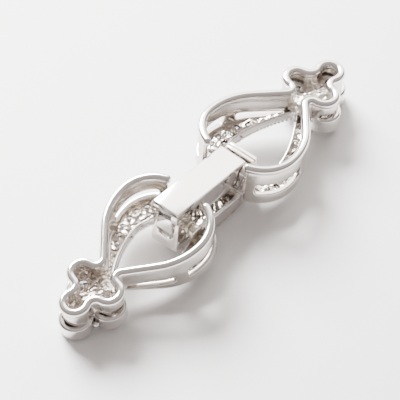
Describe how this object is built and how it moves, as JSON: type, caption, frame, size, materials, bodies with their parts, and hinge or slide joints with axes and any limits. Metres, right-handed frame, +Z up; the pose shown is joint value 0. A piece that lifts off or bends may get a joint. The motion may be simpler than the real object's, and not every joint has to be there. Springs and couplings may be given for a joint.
{
  "type": "bracelet clasp",
  "caption": "Fold-over jewellery clasp: two pierced teardrop links with trefoil bezel cups, joined by a box with a hinged lever that closes over a crossbar.",
  "frame": {"origin": "centre of the clasp's footprint, on the surface that it lies on", "axes": "+X along the clasp from the catch link to the hinge link, +Z up through the polished back"},
  "size_m": [0.0452, 0.0121, 0.0076],
  "materials": {
    "plated_metal": "bright white plating, polished",
    "large_stones": "clear, cut and polished",
    "small_stones": "clear, cut and polished"
  },
  "bodies": {
    "hinge_link": {"far_link_and_box": "plated_metal", "hinge_pin": "plated_metal", "far_cup_stone_1": "large_stones", "far_cup_stone_2": "large_stones", "far_cup_stone_3": "large_stones", "far_band_stones": "small_stones", "box_stones": "small_stones"},
    "catch_link": {"near_link": "plated_metal", "near_cup_stone_1": "large_stones", "near_cup_stone_2": "large_stones", "near_cup_stone_3": "large_stones", "near_band_stones": "small_stones"},
    "lever": {"lever": "plated_metal"}
  },
  "joints": [
    {"name": "lever_hinge", "type": "hinge", "parent": "hinge_link", "child": "lever", "pos_m": [0.00382, 0, 0.00509], "axis": [0, 1, 0], "range_deg": [0, 95]},
    {"name": "catch_swing", "type": "hinge", "parent": "hinge_link", "child": "catch_link", "pos_m": [-0.00504, 0, 0.00438], "axis": [0.0384, 0.9993, 0], "range_deg": [-20, 35]}
  ]
}
